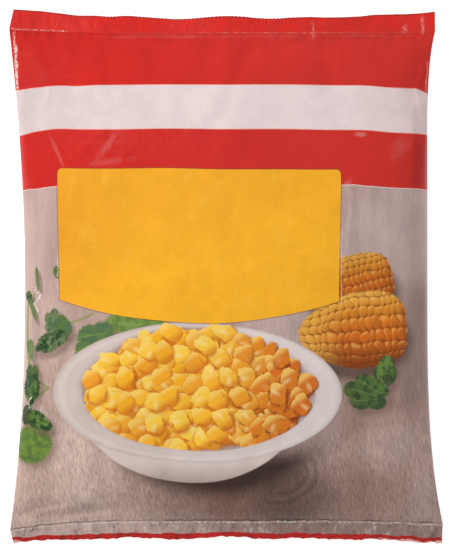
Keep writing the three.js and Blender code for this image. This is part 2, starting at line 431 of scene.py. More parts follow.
def fine_relief(x, y, t, u):
    """What the front film adds to the solid: kernels, crinkles, fine pleats, creases and welds' grooves."""
    in_body = np.minimum(np.abs(t), 1)
    distance = (1 - in_body) * HALF_LENGTH
    full = fullness(u, t)
    crests = ridges(x + 0.3 * y, y - 0.2 * x, CRINKLE["pitch"], 12)
    crests = crests * lattice_noise(x, y, CRINKLE["patches"], 13) ** 2
    loose = CRINKLE["body"] + CRINKLE["sides"] * (1 - np.minimum(1, CRINKLE["taut"] * full))
    relief = kernel_bumps(x, y) * np.minimum(1, KERNELS["taut"] * full)
    relief = relief + loose * crests - depth_beside_seals(FINE, t, x, distance)
    relief = relief + crease_height(x, y) - facet_drop(x, y)
    relief = relief * np.minimum(1, distance / RELIEF_FADE["at_ends"])
    past_groove = (distance - WELD_GROOVE["distance"]) / WELD_GROOVE["width"]
    groove = -WELD_GROOVE["depth"] * np.exp(-(past_groove ** 2))
    return (1 - np.abs(u) ** RELIEF_FADE["side_power"]) * (in_body < 1) * (relief + groove)


def step_lengths(points, axis):
    """Running length along the rows or columns of a grid of points."""
    steps = np.linalg.norm(np.diff(points, axis=axis), axis=-1)
    return np.concatenate([np.zeros_like(np.take(steps, [0], axis)), np.cumsum(steps, axis)], axis)


def bend_ends(ring, t):
    """Cut edges that wave a little, with teeth at the top and a ragged line at the bottom."""
    x = ring[..., 0]
    into_top = np.clip(t - 1, 0, 1) ** 2
    into_bottom = np.clip(-t - 1, 0, 1) ** 2
    wave = sum(size * (lattice_noise(x, 0 * x, (pitch, 1), seed) - 0.5) for size, pitch, seed in EDGE_WAVES)
    rise = BOTTOM_EDGE_RISE["height"] * (1 + np.tanh(x / BOTTOM_EDGE_RISE["half_width"]))
    beside_dip = (x - TOP_EDGE_DIP["x"]) / TOP_EDGE_DIP["half_width"]
    dip = TOP_EDGE_DIP["depth"] * np.exp(-(beside_dip ** 2))
    ring[..., 1] += (into_top + into_bottom) * wave + into_bottom * rise - into_top * dip
    ring[-1, 1:COLUMNS:2, 1] += TOOTH
    ragged = lattice_noise(x[0], 0 * x[0], (RAGGED["pitch"], 1), 31) - 0.5
    ring[0, :, 1] -= RAGGED["depth"] * ragged


def build_film():
    seal = 1 + np.arange(1, SEAL_ROWS + 1) / SEAL_ROWS
    body = crowded(np.linspace(-1, 1, BODY_ROWS + 1), ROW_CROWDING)
    t = np.concatenate([-seal[::-1], body, seal])[:, None]
    front_u = crowded(np.linspace(-1, 1, COLUMNS + 1), COLUMN_CROWDING)[None, :]
    back_u = front_u[:, ::-2]
    side_w = np.cos(np.linspace(0, math.pi, EDGE_STEPS + 2))[None, 1:-1]

    def face(u, w, relief=1):
        return film_points(u + 0 * w, t, w + 0 * u, relief)

    front, back = face(front_u, 1), face(back_u, -1)
    right, left = face(1, side_w), face(-1, -side_w)

    # Print coordinates: lengths along the film, across from its middle and down from its top edge
    plain = np.concatenate([face(front_u, 1, 0), right, face(back_u, -1, 0), left], 1)

    front[..., 2] += fine_relief(front[..., 0], front[..., 1], t, front_u)
    ring = np.concatenate([front, right, back, left], 1)
    ring[..., 2] += seal_crinkle(ring[..., 0], ring[..., 1], t)
    bend_ends(ring, t)
    closed = np.concatenate([plain, plain[:, :1]], 1)
    across = step_lengths(closed, 1)
    girth = across[:, -1:]
    across = across[:, :-1] - across[:, COLUMNS // 2][:, None]
    up = step_lengths(plain, 0)
    down = up[-1][None, :] - up
    weld = (np.abs(t) - 1) * np.where(np.abs(t) > 1, SEAL_LENGTH, HALF_LENGTH) + 0 * up
    # How pale the creases are painted: worn ink and painted glints
    wear_and_glint = np.zeros_like(up)
    wear_and_glint[:, :COLUMNS + 1] = crease_wear_and_glint(front[..., 0], front[..., 1])
    return ring, across, girth, down, up, weld, wear_and_glint


def quad_faces(rows, ring):
    row = np.arange(rows - 1)[:, None] * ring
    column = np.arange(ring)[None, :]
    following = (column + 1) % ring
    below = row + ring
    return np.stack([row + column, row + following, below + following, below + column], -1).reshape(-1, 4)


def cap_faces(ring, first, sign):
    """Closes the thin gap between the films at a cut edge."""
    half = COLUMNS // 2
    faces = []
    for j in range(half):
        a, b, c = 2 * j, 2 * j + 1, 2 * j + 2
        near = BACK_START + half - j
        far = near - 1
        faces += [(a, b, near), (b, far, near), (b, c, far)]
    right = list(range(COLUMNS, BACK_START + 1))
    left = [BACK_START + half + k for k in range(EDGE_STEPS + 1)] + [0]
    faces = [[first + i for i in f] for f in faces]
    faces += [[first + i % ring for i in right], [first + i % ring for i in left]]
    return [f[::sign] for f in faces]


def add_object(name, data):
    made = bpy.data.objects.new(name, data)
    bpy.context.scene.collection.objects.link(made)
    return made


def make_mesh(name, points, faces, fields):
    """A mesh from points in millimetres. Each field has one value for each corner of each face."""
    mesh = bpy.data.meshes.new(name)
    mesh.from_pydata((points * MM).tolist(), [], faces)
    for field, values in fields.items():
        mesh.attributes.new(field, "FLOAT", "CORNER").data.foreach_set("value", values.astype(np.float32))
    mesh.polygons.foreach_set("use_smooth", np.ones(len(mesh.polygons), bool))
    mesh.update()
    return add_object(name, mesh)


ring_points, across, girth, down, up, weld, wear_and_glint = build_film()
rows, ring = ring_points.shape[:2]
quads = quad_faces(rows, ring)
caps = cap_faces(ring, 0, 1) + cap_faces(ring, (rows - 1) * ring, -1)
corners = np.concatenate([quads.ravel(), np.concatenate(caps)])

# The print runs both ways round from the middle of the front and meets itself at the back seam
back_x = ring_points[rows // 2, BACK_START:, 0]
back_seam = BACK_START + int(np.argmax(back_x < SEAM["left"]))
from_left = (np.arange(len(quads)) % ring >= back_seam).repeat(4)
turned_back = np.concatenate([from_left, corners[len(from_left):] % ring >= back_seam])
turned_back = turned_back & (corners % ring > COLUMNS)
wrapped = (across - girth).ravel()
corner_fields = {
    "film_across": np.where(turned_back, wrapped[corners], across.ravel()[corners]),
    "film_down": down.ravel()[corners],
    "film_up": up.ravel()[corners],
    "film_weld": weld.ravel()[corners],
    "film_wear_and_glint": wear_and_glint.ravel()[corners],
}
bag = make_mesh("bag_film", ring_points.reshape(-1, 3), quads.tolist() + caps, corner_fields)

film = bpy.data.materials.new("printed_film")
film.use_nodes = True
nodes, links = film.node_tree.nodes, film.node_tree.links


def put(socket, value):
    """Gives an input a constant, or links it to a field."""
    if isinstance(value, Field):
        links.new(value.socket, socket)
    elif socket.type == "RGBA":
        socket.default_value = (*value, 1)
    elif socket.type == "VECTOR":
        socket.default_value = (*value, 0)[:3]
    else:
        socket.default_value = value


def make_node(kind, outputs, inputs, **settings):
    made = nodes.new("ShaderNode" + kind)
    for key, value in settings.items():
        setattr(made, key, value)
    for key, value in inputs.items():
        put(made.inputs[key], value)
    fields = [Field(made.outputs[name]) for name in outputs]
    return fields[0] if len(fields) == 1 else fields


def coat(material, values):
    """Sets inputs of a material's shader."""
    for key, value in values.items():
        put(material.node_tree.nodes["Principled BSDF"].inputs[key], value)


def calc(operation, *values):
    return make_node("Math", [0], dict(enumerate(values)), operation=operation)


def calculation(operation):
    """A function that does one kind of arithmetic on fields."""
    return lambda *values: calc(operation, *values)


class Field:
    """A value that varies over the film. Arithmetic on fields makes the material's nodes."""

    def __init__(self, socket):
        self.socket = socket

    def __rsub__(self, other):
        return calc("SUBTRACT", other, self)

    __add__ = __radd__ = calculation("ADD")
    __sub__ = calculation("SUBTRACT")
    __mul__ = __rmul__ = calculation("MULTIPLY")
    __truediv__ = calculation("DIVIDE")
    __pow__ = calculation("POWER")


lower = calculation("MINIMUM")
higher = calculation("MAXIMUM")
size_of = calculation("ABSOLUTE")


def ease(value, start, end, low=0, high=1):
    """Goes smoothly from low at start to high at end."""
    if start > end:
        start, end, low, high = end, start, high, low
    inputs = {0: value, 1: start, 2: end, 3: low, 4: high}
    return make_node("MapRange", [0], inputs, interpolation_type="SMOOTHSTEP")


def join(x, y, z=0):
    return make_node("CombineXYZ", [0], {0: x, 1: y, 2: z})


def split(vector):
    return make_node("SeparateXYZ", [0, 1], {0: vector})


def vector_calc(operation, output, *values):
    return make_node("VectorMath", [output], dict(enumerate(values)), operation=operation)


def after(colour, point):
    """The point itself, but worked out after the colour, so that few values are held at a time."""
    nothing = (1e-20,) * 3
    return vector_calc("MULTIPLY_ADD", 0, colour, nothing, point)


def place(point, centre, radii=(1, 1), turn=0):
    """The point as seen from a shape's centre, turned with it and in units of its radii."""
    rotation = join(0, 0, turn) if isinstance(turn, Field) else (0, 0, math.radians(turn))
    inputs = {"Vector": point, "Location": centre, "Rotation": rotation, "Scale": radii}
    return make_node("Mapping", [0], inputs, vector_type="TEXTURE")


def stretched(point, amount, turn=0):
    """The point with lengths down the bag divided by an amount, so that noise on it is drawn out."""
    return place(point, (0, 0), (1, amount), turn)


def spun(vector, angle):
    inputs = {"Vector": vector, "Angle": angle}
    return make_node("VectorRotate", [0], inputs, rotation_type="Z_AXIS")


def reach(vector):
    return vector_calc("LENGTH", "Value", vector)


def oval(point, centre, radii, turn=0):
    """1 on the oval's edge, less inside it."""
    return reach(place(point, centre, radii, turn))


def noise(point, scale, detail=2, rough=0.5):
    inputs = {"Vector": point, "Scale": scale, "Detail": detail, "Roughness": rough}
    return make_node("TexNoise", ["Fac"], inputs, noise_dimensions="2D")


def cells(point, scale, randomness):
    """Distance to the nearest of scattered seats, a random colour of that seat, and its place."""
    inputs = {"Vector": point, "Scale": scale, "Randomness": randomness}
    outputs = ["Distance", "Color", "Position"]
    return make_node("TexVoronoi", outputs, inputs, voronoi_dimensions="2D")


def chance(vector):
    return make_node("TexWhiteNoise", ["Value"], {"Vector": vector}, noise_dimensions="2D")


def mix(a, b, share):
    """Colour a where share is 0 and colour b where it is 1."""
    return make_node("Mix", [2], {"Factor": share, 6: a, 7: b}, data_type="RGBA")


def shade(colour, amount):
    """The colour times an amount, which may be over 1."""
    inputs = {"Factor": amount, 6: (0, 0, 0), 7: colour}
    return make_node("Mix", [2], inputs, data_type="RGBA", clamp_factor=False)


def draws(colour):
    """The first two channels of a random colour."""
    return make_node("SeparateColor", [0, 1], {0: colour})


def ink(red, green, blue):
    """A printed colour, from the 0 to 255 of a screen to the shader's own scale."""
    def linear(value):
        value = value / 255
        return value / 12.92 if value <= 0.04045 else ((value + 0.055) / 1.055) ** 2.4

    return (linear(red), linear(green), linear(blue))


def shape(**kinds):
    """Makes a drawing function into a node group, built once and used for every shape of its kind."""
    def prepare(draw):
        global nodes, links
        tree = bpy.data.node_groups.new(draw.__name__, "ShaderNodeTree")
        kinds_in = {"point": "Vector", "ground": "Color", **kinds}
        for name, kind in kinds_in.items():
            tree.interface.new_socket(name, in_out="INPUT", socket_type="NodeSocket" + kind)
        tree.interface.new_socket("colour", in_out="OUTPUT", socket_type="NodeSocketColor")
        outer = nodes, links
        nodes, links = tree.nodes, tree.links
        entry = nodes.new("NodeGroupInput")
        fields = {name: Field(entry.outputs[name]) for name in kinds_in}
        fields["point"] = after(fields["ground"], fields["point"])
        put(nodes.new("NodeGroupOutput").inputs[0], draw(**fields))
        nodes, links = outer

        def use(*values):
            made = nodes.new("ShaderNodeGroup")
            made.node_tree = tree
            for socket, value in zip(made.inputs, values):
                put(socket, value)
            return Field(made.outputs[0])

        return use

    return prepare


# The print, in millimetres on the flat film: across from its middle, down from its top edge
across_film, down_film, up_film, weld_film, wear_and_glint_film = [
    make_node("Attribute", ["Fac"], {}, attribute_name="film_" + name)
    for name in ("across", "down", "up", "weld", "wear_and_glint")
]
point = join(across_film, down_film)

# Ovals of the print, and of painted sheen and shade on the film: centre, radii and turn in degrees
STAIN = ((6, 193), (62, 26))
# a painted sheen on the film
PAINTED_SHEEN_PATCH = ((64, 172), (18, 13), -20)
# painted shade of a fold in the film
CORNER_FOLD_SHADE = ((-60, 200.5), (18, 3.4), -9)
KNOT = ((21.5, 182.5), (14, 14.5))
HEAP = ((-11.2, 151.6), (44, 23.4))
MOUND = ((-12, 142.5), (34, 16.6))
RIM = ((-11.6, 151.4), (56.5, 27.7))
INSIDE = ((-10.8, 150.6), (45.8, 23.6))
BODY = ((-13.9, 150), (45.4, 37.6))
RIM_SHADOW = ((-3.6, 156.4), RIM[1])
BODY_SHADOW = ((-5.4, 154), BODY[1])
SIDE_SHADOW = ((25, 194.5), (17, 19))

KERNEL = {"radii": (4.1, 3.4), "power": 3.4, "scatter": 0.84}
KERNEL_LAYERS = [
    # offset, pitch, share of the cells left empty
    ((3, 2), 6.2, 0),
    ((-40.3, -17.9), 7, 0.08),
    ((-11.7, 44.2), 7.6, 0.16),
    ((27.1, -60.4), 8.4, 0.24),
    ((61.3, 13.7), 9.6, 0.34),
]


def wood(point, across, down):
    """Old boards with an upright grain, lighter at the top and the left, with a stain and a knot, painted
    shade at the right edge and of a fold in the lower left corner, and a painted sheen at the lower right.
    """
    fine = noise(stretched(point, 11, 3), 2.1, 2, 0.7)
    hatch = noise(stretched(point, 4.4, -18), 1.2, 2, 0.7)
    broad = noise(stretched(point, 6), 0.16, 3)
    light = ease(down, 70, 205, 1, 0)
    left = ease(across, -80, 60, 1, 0)
    tone = mix(ink(173, 146, 139), ink(194, 169, 165), light)
    tone = mix(tone, ink(213, 185, 173), left * ease(down, 60, 180, 0.3, 1))
    tone = mix(tone, ink(196, 160, 148), left * ease(down, 150, 80, 0, 0.5))
    warm = ease(noise(place(point, (7, 3), (1, 2.5)), 0.028, 2), 0.42, 0.66, 0, 0.34)
    tone = mix(tone, ink(150, 112, 92), warm)
    tone = mix(tone, ink(100, 64, 53), ease(oval(point, *STAIN), 1.2, 0.15, 0, 0.74))
    # Painted shade where the film turns down at the bag's right edge
    side = ease(across, 56, 76, 0, 0.4) * ease(size_of(down - 133), 38, 12)
    tone = mix(tone, ink(104, 82, 78), side)
    # Painted sheen of the film at the lower right
    tone = mix(tone, ink(184, 158, 151), ease(oval(point, *PAINTED_SHEEN_PATCH), 1.2, 0.3, 0, 0.72))
    # Painted shade of a fold in the lower left corner
    tone = mix(tone, ink(128, 104, 98), ease(oval(point, *CORNER_FOLD_SHADE), 1.1, 0.3, 0, 0.42))
    knot = place(point, *KNOT)
    rings = calc("SINE", reach(knot) * 22 + noise(point, 0.1) * 5)
    aside, below = split(knot)
    rings = rings * ease(size_of(reach(knot) - 0.85), 0.45, 0.1) * ease(aside + below, 0.1, 0.8) * 0.2
    coarse = ease(down, 140, 190, 0.26, 0.85)
    sharp = ease(down, 90, 170, 0.3, 1)
    grain = 1 + (ease(fine, 0.28, 0.72, -0.15, 0.14) + (hatch - 0.5) * coarse) * sharp + rings
    return shade(tone, grain * ease(broad, 0.3, 0.7, 0.93, 1.07))


def kernel_tones(local, random, form, across, dim):
    """Colour of one kernel: its own tint and pale tip, a lit upper edge and a dim lower one."""
    red, green = draws(random)
    tint = mix(ink(252, 178, 34), ink(255, 208, 70), red)
    tint = mix(tint, ink(238, 150, 42), ease(green, 0.74, 0.9, 0, 0.65))
    tint = mix(tint, ink(206, 84, 26), ease(across, -12, 26, 0, 0.8))
    lit = vector_calc("DOT_PRODUCT", "Value", local, (-0.17, -0.25, 0))
    tint = mix(tint, ink(218, 122, 28), ease(lit, -0.15, -1.05, 0, 0.72))
    tint = mix(tint, ink(255, 222, 122), ease(lit, 0.1, 0.9, 0, 0.6))
    x, y = split(spun(local, green * 6.3))
    tip = reach(join((x - 1.5) / 2.6, y / 1.2))
    tint = mix(tint, ink(255, 232, 166), ease(tip, 1.2, 0.1, 0, 0.46) * ease(red, 0.25, 0.7))
    edge = mix(dim, ink(255, 212, 100), ease(lit, -0.15, 0.5))
    return mix(tint, edge, ease(form, 0.5, 1.05, 0, 0.68))


def heaped(point):
    """Less than 1 where the kernels are heaped."""
    return lower(oval(point, *HEAP), oval(point, *MOUND))


@shape(offset="Vector", pitch="Float", empty="Float")
def kernel_layer(point, ground, offset, pitch, empty):
    """Kernels scattered one to a cell, each turned its own way, over what lies below them."""
    wobble = noise(point, 0.6, 1)
    moved = place(point, offset)
    distance, random, seat = cells(moved, calc("DIVIDE", 1, pitch), KERNEL["scatter"])
    red, green = draws(random)
    local = vector_calc("SUBTRACT", "Vector", moved, seat)
    x, y = split(spun(local, red * 9))
    long, short = KERNEL["radii"]
    power = KERNEL["power"]
    slim = 0.84 + green * 0.3
    form = (size_of(x) * slim / long) ** power + (size_of(y + x * 0.16) / slim / short) ** power
    form = form + (wobble - 0.5) * 0.9
    home = vector_calc("ADD", "Vector", seat, offset)
    there = ease(heaped(home), 0.99, 0.988) * ease(green - empty, 0, 0.01)
    shadow = place(local, (0.4, 0.7))
    across = split(home)[0]
    dim = mix(ink(208, 114, 26), ink(134, 54, 16), ease(across, -12, 24))
    ground = mix(ground, dim, ease(reach(shadow), long * 1.25, short * 0.9, 0, 0.85) * there)
    tone = kernel_tones(local, random, form, across, dim)
    return mix(ground, tone, ease(form, 1.12, 0.86) * there)


def heap(point, ground):
    """Loose kernels: a bed of them, and more layers that lie on it."""
    bed = heaped(after(ground, point))
    ground = mix(ground, ink(140, 104, 80), ease(bed, 1.1, 0.97, 0, 0.55))
    ground = mix(ground, ink(190, 108, 34), ease(bed, 0.96, 0.86))
    for layer in KERNEL_LAYERS:
        ground = kernel_layer(point, ground, *layer)
    return ground


def bowl(point, ground):
    """A plain white bowl, seen from above its front, full of kernels."""
    point = after(ground, point)
    across, down = split(point)
    ground = mix(ground, ink(58, 40, 34), ease(oval(point, *SIDE_SHADOW), 1.15, 0.5, 0, 0.45))
    ground = mix(ground, ink(70, 50, 44), ease(oval(point, *RIM_SHADOW), 1.1, 0.94, 0, 0.22))
    shadow = oval(point, *BODY_SHADOW)
    ground = mix(ground, ink(52, 35, 29), ease(shadow, 1.15, 0.9, 0, 0.9) * ease(down, 170, 181))
    body = oval(point, *BODY)
    tone = mix(ink(220, 201, 193), ink(176, 156, 148), ease(down, 178, 189))
    tone = mix(tone, ink(158, 138, 131), ease(across, 8, 40, 0, 0.7))
    ground = mix(ground, tone, ease(body, 1.008, 0.99) * ease(down, 159, 160))
    rim = oval(point, *RIM)
    tone = mix(ink(213, 195, 187), ink(224, 210, 207), ease(across, -60, 40))
    tone = mix(tone, ink(190, 172, 165), ease(rim, 0.965, 1, 0, 0.5))
    tone = mix(tone, ink(236, 224, 218), ease(size_of(rim - 0.94), 0.04, 0, 0, 0.3))
    ground = mix(ground, tone, ease(rim, 1.006, 0.992))
    inside = oval(point, *INSIDE)
    tone = mix(ink(168, 148, 140), ink(206, 190, 187), ease(across, -55, 30))
    tone = mix(tone, ink(150, 126, 114), ease(inside, 0.8, 0.98, 0.5, 0))
    inner = ease(inside, 1.01, 0.985)
    ground = mix(ground, tone, ease(inside, 1.07, 0.86))
    filled = heap(point, ground)
    return mix(ground, filled, higher(inner, ease(down, 151, 149)))


@shape(centre="Vector", radii="Vector", turn="Float", rows="Float", pitch="Float", lightness="Float")
def cob(point, ground, centre, radii, turn, rows, pitch, lightness):
    """An ear of corn lying across: rows of rounded kernels, slimmer and paler towards its left tip."""
    half_length, half_height = split(radii)
    local = place(point, centre, (1, 1), turn)
    x, y = split(local)
    along = x / half_length
    share = y / (ease(along, -1.3, 0.1, 0.45, 1) * half_height)
    bumps = noise(point, 0.32, 1) - 0.5
    form = size_of(along) ** 3.6 + size_of(share) ** 3 + bumps * 0.22
    share = lower(higher(share, -0.999), 0.999)
    warp = noise(local, 0.13, 1) - 0.5
    row = calc("ARCSINE", share) * rows + warp * 0.7
    line = calc("FLOOR", row)
    column = x / pitch + chance(join(line, 3)) * 0.7 + warp * 2.2
    inner_x = calc("FRACT", column) - 0.5
    inner_y = calc("FRACT", row) - 0.5
    kernel = (size_of(inner_x) * 2) ** 2.6 + (size_of(inner_y) * 2) ** 3.4
    random = chance(join(calc("FLOOR", column), line))
    tone = mix(ink(232, 150, 46), ink(212, 110, 30), ease(share, -0.75, 0.1))
    tone = mix(tone, ink(134, 62, 20), ease(share, 0.1, 1))
    tone = mix(tone, ink(242, 182, 84), ease(share, -0.5, -1, 0, 0.7))
    tone = mix(tone, ink(248, 186, 78), ease(along, -0.1, -1, 0, 0.75))
    tone = mix(tone, ink(168, 88, 34), ease(along, 0.72, 1.05, 0, 0.5))
    tone = shade(tone, random * 0.18 + 0.9)
    lit = (inner_x + inner_y * 1.6) * -1
    glow = ease(lit, 0.15, 0.95, 0, 0.5) * ease(kernel, 0.9, 0.3) * ease(share, 0.9, 0.4)
    tone = mix(tone, ink(255, 208, 118), glow)
    tone = mix(tone, shade(tone, 0.74), ease(lit, 0, -1))
    tone = mix(tone, ink(126, 60, 20), ease(kernel, 0.6, 1.4, 0, 0.72))
    tone = shade(tone, lightness)
    shadow = place(local, (2, 5), radii)
    ground = mix(ground, ink(78, 54, 46), ease(reach(shadow), 1.15, 0.8, 0, 0.8))
    return mix(ground, tone, ease(form, 1.08, 0.9))


@shape(centre="Vector", radii="Vector", turn="Float", lobes="Float", depth="Float", teeth="Float",
       light="Color", dark="Color")
def leaf(point, ground, centre, radii, turn, lobes, depth, teeth, light, dark):
    """One herb leaf: lobes with toothed edges, veins that fan out from its stalk, and a soft shadow."""
    local = place(point, centre, radii, turn)
    x, y = split(local)
    angle = calc("ARCTAN2", y, x)
    lobe = size_of(calc("SINE", angle * lobes * 0.5 + 1.57)) ** 0.6
    tooth = calc("PINGPONG", angle * 12 + noise(point, 0.5, 1) * 3, 1)
    form = reach(local) / (1 - (1 - lobe) * depth - tooth * teeth)
    fan = size_of(calc("SINE", calc("ARCTAN2", y, x + 0.95) * 8))
    blotch = noise(point, 0.34, 2)
    tone = mix(dark, light, ease(blotch, 0.36, 0.6))
    tone = mix(tone, dark, ease(y - x * 0.7, 0, 1.2, 0, 0.75))
    tone = mix(tone, dark, ease(fan, 0.45, 0.95, 0, 0.22))
    tone = mix(tone, ink(160, 178, 108), ease(fan, 0.25, 0, 0, 0.3) * ease(form, 1, 0.5))
    shadow = place(point, vector_calc("ADD", "Vector", centre, (1.4, 1.8, 0)), radii, turn)
    ground = mix(ground, ink(112, 88, 78), ease(reach(shadow), 1.25, 0.7, 0, 0.55))
    return mix(ground, tone, ease(form, 1.05, 0.93))


@shape(centre="Vector", radii="Vector", turn="Float", tone="Color")
def stalk(point, ground, centre, radii, turn, tone):
    """A thin, slightly bent stalk."""
    x, y = split(place(point, centre, radii, turn))
    form = size_of(x) ** 6 + (y + (x * x - 0.5) * 0.9) ** 2
    return mix(ground, tone, ease(form, 1.3, 0.6, 0, 0.85))


LIGHT_GREEN = ink(116, 142, 56)
MID_GREEN = ink(88, 118, 58)
DARK_GREEN = ink(40, 70, 40)
BLUE_GREEN = ink(82, 110, 76)
SOFT_GREEN = ink(114, 130, 88)
LEAF_GREEN = ink(102, 132, 60)
DEEP_GREEN = ink(74, 88, 56)
LEAF_SHADE = ink(58, 78, 48)
PALE_GREEN = ink(128, 152, 78)
OLIVE = ink(146, 150, 92)

STALKS = [
    # from, to, half width
    ((-79.5, 112), (-80.5, 131), 0.7),
    ((-77, 113), (-76, 124), 0.6),
    ((-80.5, 128), (-78.5, 143), 0.8),
    ((-77, 131), (-79.5, 142), 0.6),
    ((-62.5, 124.8), (-51, 120.2), 0.5),
    ((-67, 112.6), (-64.5, 111.6), 0.4),
    ((-69.5, 149.2), (-76, 155), 0.7),
    ((-70, 150), (-76.5, 146.5), 0.6),
]
LEFT_LEAVES = [
    # centre, radii, turn in degrees, lobes and their depth, depth of the teeth, light and dark tones
    ((-75.2, 107.3), (5, 0.95), 84, 1, 0, 0.1, SOFT_GREEN, MID_GREEN),
    ((-66.4, 104.6), (2.6, 1.9), 80, 2, 0.1, 0.05, SOFT_GREEN, MID_GREEN),
    ((-79.6, 114.4), (3.4, 2), 60, 3, 0.4, 0.1, MID_GREEN, DARK_GREEN),
    ((-77.4, 119.4), (4.6, 1.1), 70, 2, 0.1, 0.1, SOFT_GREEN, MID_GREEN),
    ((-78.6, 134.4), (4.6, 2), 80, 3, 0.3, 0.1, SOFT_GREEN, MID_GREEN),
    ((-68.2, 123.8), (5.6, 4.4), -80, 5, 0.3, 0.12, SOFT_GREEN, BLUE_GREEN),
    ((-63.6, 125.6), (5, 3.2), -110, 3, 0.2, 0.12, MID_GREEN, BLUE_GREEN),
    ((-69.2, 131.6), (8.4, 4.2), 156, 5, 0.2, 0.14, SOFT_GREEN, DARK_GREEN),
    ((-34.6, 124.6), (13.5, 5.4), 184, 1, 0.1, 0.1, PALE_GREEN, LEAF_GREEN),
    ((-50.4, 131.8), (9.8, 8.8), 150, 5, 0.18, 0.1, LEAF_GREEN, BLUE_GREEN),
    ((-77.6, 148.4), (9.4, 4.4), 92, 5, 0.22, 0.16, MID_GREEN, DARK_GREEN),
    ((-79.7, 160.4), (4.4, 3.2), 95, 2, 0.2, 0.15, DEEP_GREEN, DARK_GREEN),
    ((-77, 171), (9.6, 9.6), 80, 1, 0.35, 0.14, LIGHT_GREEN, MID_GREEN),
    ((-74.1, 162.8), (7, 4), 28, 3, 0.3, 0.16, LEAF_GREEN, DARK_GREEN),
]
RIGHT_LEAVES = [
    ((62.4, 143), (6.6, 5.2), -80, 3, 0.3, 0.06, LEAF_GREEN, LEAF_SHADE),
    ((54.8, 151.2), (10, -7.4), 195, 5, 0.26, 0.06, MID_GREEN, LEAF_SHADE),
]
COBS = [
    # centre, radii, turn in degrees, rows a radian, pitch of the kernels, lightness
    ((47, 109.6), (19, 11.6), -12, 3.2, 2.3, 0.9),
    ((49.8, 126.9), (21.8, 14.9), -4, 2.9, 3.1, 1),
]


def lay(draw, ground, pieces):
    """Draws each piece of a list over what lies below it."""
    for centre, radii, turn, *details in pieces:
        ground = draw(point, ground, centre, radii, math.radians(turn), *details)
    return ground


colour = wood(point, across_film, down_film)
for start, end, width in STALKS:
    middle = ((start[0] + end[0]) / 2, (start[1] + end[1]) / 2)
    run = (end[0] - start[0], end[1] - start[1])
    colour = stalk(point, colour, middle, (math.hypot(*run) / 2, width), math.atan2(run[1], run[0]), OLIVE)
colour = lay(leaf, colour, LEFT_LEAVES)
colour = lay(cob, colour, COBS)
colour = lay(leaf, colour, RIGHT_LEAVES)
colour = bowl(point, colour)

# The red field and the pale band across it, both with a thin line along their edges, which sag at the sides
RED_END = 70.8
BAND = {"middle": 39.25, "half_width": 8.9}
LINE_WIDTH = 0.3
SOFT_EDGE = 0.05
red = mix(ink(209, 38, 32), ink(207, 47, 40), ease(across_film, -60, 40))
white = mix(ink(222, 204, 203), ink(232, 214, 213), ease(across_film, -84, -10))
white = mix(white, ink(230, 207, 205), ease(across_film, 45, 78))
sag = ease(across_film, -62, -85, 0, 2.4)
sag = sag + ease(across_film, -72, -58, 0, 0.42) * ease(across_film, 10, -40)
sag = sag + ease(across_film, 52, 67, 0, 0.85) + ease(across_film, 76, 84, 0, 0.15)
lines = down_film - sag
lifted = ease(across_film, -75, -79, 0, 0.5) + ease(size_of(across_film - 47), 8, 2, 0, 0.6)
past_red = lines + lifted - RED_END
colour = mix(colour, ink(228, 208, 204), ease(past_red, LINE_WIDTH + SOFT_EDGE, LINE_WIDTH - SOFT_EDGE))
colour = mix(colour, red, ease(past_red, SOFT_EDGE, -SOFT_EDGE))
turned = ease(across_film, 74.5, 81, 0, 1.6) * ease(down_film, 46, 36)
drift = ease(across_film, 24, 76, 0, 0.9) + ease(across_film, -76, -82, 0, 0.5) + turned
pinch = ease(size_of(across_film + 66), 18, 6, 0, 0.28)
past_band = size_of(lines - drift - pinch - BAND["middle"]) + pinch - BAND["half_width"]
colour = mix(colour, ink(238, 160, 150), ease(past_band, LINE_WIDTH + SOFT_EDGE, LINE_WIDTH / 2))
colour = mix(colour, white, ease(past_band, SOFT_EDGE, -2 * SOFT_EDGE))

# The panel has rounded corners, a bowed bottom edge and a dark line round it
PANEL = {"middle": -10.9, "half_width": 55.2, "top": 64.2, "corner": 2, "bottom": 115.2, "bow": 8.6}
aside = size_of(across_film - PANEL["middle"]) - ease(down_film, 64, 116, 0.2, -0.6)
bottom = PANEL["bottom"] + PANEL["bow"] * (1 - (aside / PANEL["half_width"]) ** 2)
corner_x = higher(aside - (PANEL["half_width"] - PANEL["corner"]), 0)
corner_y = higher(PANEL["top"] + PANEL["corner"] - down_film, 0)
rounded = reach(join(corner_x, corner_y)) - PANEL["corner"]
outside = higher(rounded, down_film - bottom)
colour = mix(colour, ink(120, 60, 24), ease(outside, 0.7, 0, 0, 0.6))
cloud = noise(stretched(point, 1.6, 10), 0.12, 4, 0.7)
# The paint is a little darker towards the left: painted shade
paint = mix(ink(248, 174, 40), ink(240, 163, 40), ease(across_film, -30, -66, 0, 0.9))
paint = mix(paint, ink(254, 184, 38), ease(down_film + across_film * 0.3, 66, 104, 0, 0.7))
paint = mix(paint, ink(232, 156, 42), ease(cloud, 0.5, 0.28, 0, 0.22))
paint = mix(paint, ink(255, 190, 66), ease(cloud, 0.54, 0.76, 0, 0.5))
colour = mix(colour, paint, ease(outside, 0.08, -0.08))

# The bottom seal is paler, darker towards the right and crumpled, with painted light and shade in patches
# on its crumples, and its cut edge carries the start of the next bag's red
bottom_end = ease(up_film, 14, 12)
top_end = 1 - bottom_end
dots = noise(stretched(point, 0.6), 0.8, 2, 0.7)
patches = noise(stretched(point, 1.8, 14), 0.24, 4, 0.75)
weld_wave = (noise(point, 0.22, 2) - 0.5) * 1.2
in_seal = ease(weld_film + weld_wave, 0, 0.3) * bottom_end
welded = mix(ink(180, 154, 148), ink(140, 115, 109), ease(across_film, -40, 30))
colour = mix(colour, welded, in_seal * 0.7)
